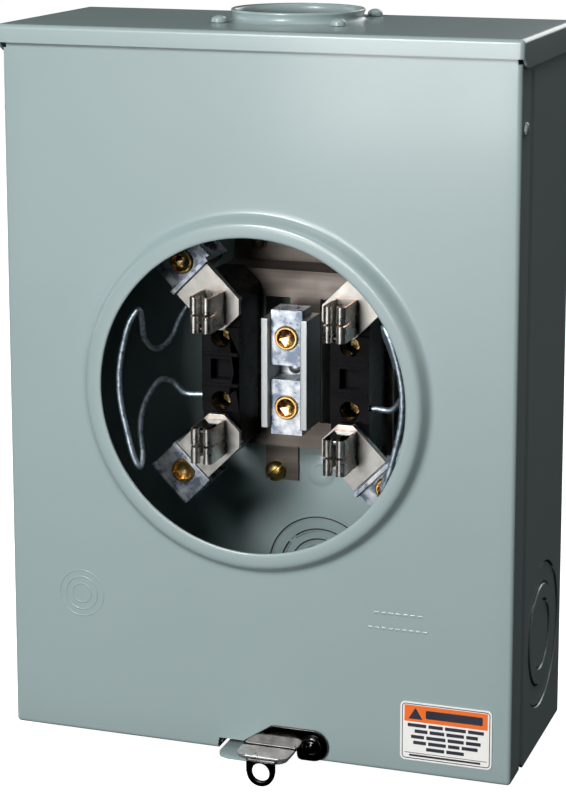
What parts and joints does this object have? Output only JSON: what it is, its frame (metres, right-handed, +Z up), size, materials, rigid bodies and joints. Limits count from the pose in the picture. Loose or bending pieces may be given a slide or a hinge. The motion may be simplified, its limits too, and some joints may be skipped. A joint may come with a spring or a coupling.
{
  "type": "meter socket enclosure",
  "caption": "Ringless wall enclosure for a plug-in electric meter: grey steel box with a hood, a latched cover with a raised round opening, and jaws, lugs and blocks inside.",
  "frame": {"origin": "centre of the back face, in the plane of the wall", "axes": "+Z up, +Y into the wall, the front faces -Y, +X to the right of a person facing the front"},
  "size_m": [0.28, 0.1305, 0.3982],
  "materials": {
    "grey_enamel": "satin baked enamel over galvanised steel",
    "label_film": "printed film, satin",
    "black_plating": "bright black plating on steel",
    "bracket_steel": "plain rolled steel with a brown mill finish",
    "tin_plate": "tin plating on copper alloy",
    "lug_aluminium": "extruded aluminium, tin plated",
    "yellow_zinc": "yellow zinc plating on steel",
    "brass": "plain brass",
    "black_phenolic": "moulded phenolic, satin black",
    "spring_steel": "zinc coated spring wire, mottled"
  },
  "bodies": {
    "root": {"box_back_and_sides": "grey_enamel", "bottom_wall": "grey_enamel", "top_hood": "grey_enamel", "hub_screw_front_left": "grey_enamel", "hub_screw_front_right": "grey_enamel", "hub_screw_rear_left": "grey_enamel", "hub_screw_rear_right": "grey_enamel", "seal_hasp": "black_plating", "hasp_rivet_rear": "black_plating", "hasp_rivet_front": "black_plating", "mounting_bracket": "bracket_steel", "neutral_spacer": "bracket_steel", "bracket_screw_left": "yellow_zinc", "bracket_screw_right": "yellow_zinc", "block_screw_lower_left": "yellow_zinc", "block_screw_lower_right": "yellow_zinc", "block_screw_upper_left": "yellow_zinc", "block_screw_upper_right": "yellow_zinc", "neutral_screw": "yellow_zinc", "bonding_screw": "brass", "insulating_block_left": "black_phenolic", "insulating_block_right": "black_phenolic", "contact_plate_upper_left": "tin_plate", "jaw_upper_left": "tin_plate", "lug_upper_left": "lug_aluminium", "fixing_screw_upper_left": "yellow_zinc", "contact_plate_upper_right": "tin_plate", "jaw_upper_right": "tin_plate", "lug_upper_right": "lug_aluminium", "fixing_screw_upper_right": "yellow_zinc", "contact_plate_lower_left": "tin_plate", "jaw_lower_left": "tin_plate", "lug_lower_left": "lug_aluminium", "fixing_screw_lower_left": "yellow_zinc", "contact_plate_lower_right": "tin_plate", "jaw_lower_right": "tin_plate", "lug_lower_right": "lug_aluminium", "fixing_screw_lower_right": "yellow_zinc", "neutral_channel": "lug_aluminium", "neutral_lug_upper": "lug_aluminium", "neutral_lug_lower": "lug_aluminium", "meter_support_wire_left": "spring_steel", "meter_support_wire_right": "spring_steel"},
    "cover": {"cover": "grey_enamel", "cover_rivet_left": "grey_enamel", "cover_rivet_right": "grey_enamel", "label": "label_film", "latch_rivet": "black_plating"},
    "latch": {"latch": "black_plating"},
    "lug_screw_upper_left": {"lug_screw_upper_left": "yellow_zinc"},
    "lug_screw_upper_right": {"lug_screw_upper_right": "yellow_zinc"},
    "lug_screw_lower_left": {"lug_screw_lower_left": "yellow_zinc"},
    "lug_screw_lower_right": {"lug_screw_lower_right": "yellow_zinc"},
    "neutral_lug_screw_upper": {"neutral_lug_screw_upper": "yellow_zinc"},
    "neutral_lug_screw_lower": {"neutral_lug_screw_lower": "yellow_zinc"}
  },
  "joints": [
    {"name": "cover_swing", "type": "hinge", "parent": "root", "child": "cover", "pos_m": [0, -0.1126, 0.187], "axis": [-1, 0, 0], "range_deg": [0, 25]},
    {"name": "latch_swing", "type": "hinge", "parent": "cover", "child": "latch", "pos_m": [0.0325, -0.1147, -0.1816], "axis": [0, 1, 0], "range_deg": [0, 100]},
    {"name": "lug_screw_upper_left_travel", "type": "slide", "parent": "root", "child": "lug_screw_upper_left", "axis": [0, 1, 0], "range_m": [0, 0.008]},
    {"name": "lug_screw_upper_right_travel", "type": "slide", "parent": "root", "child": "lug_screw_upper_right", "axis": [0, 1, 0], "range_m": [0, 0.008]},
    {"name": "lug_screw_lower_left_travel", "type": "slide", "parent": "root", "child": "lug_screw_lower_left", "axis": [0, 1, 0], "range_m": [0, 0.008]},
    {"name": "lug_screw_lower_right_travel", "type": "slide", "parent": "root", "child": "lug_screw_lower_right", "axis": [0, 1, 0], "range_m": [0, 0.008]},
    {"name": "neutral_lug_screw_upper_travel", "type": "slide", "parent": "root", "child": "neutral_lug_screw_upper", "axis": [0, 1, 0], "range_m": [0, 0.008]},
    {"name": "neutral_lug_screw_lower_travel", "type": "slide", "parent": "root", "child": "neutral_lug_screw_lower", "axis": [0, 1, 0], "range_m": [0, 0.008]}
  ]
}
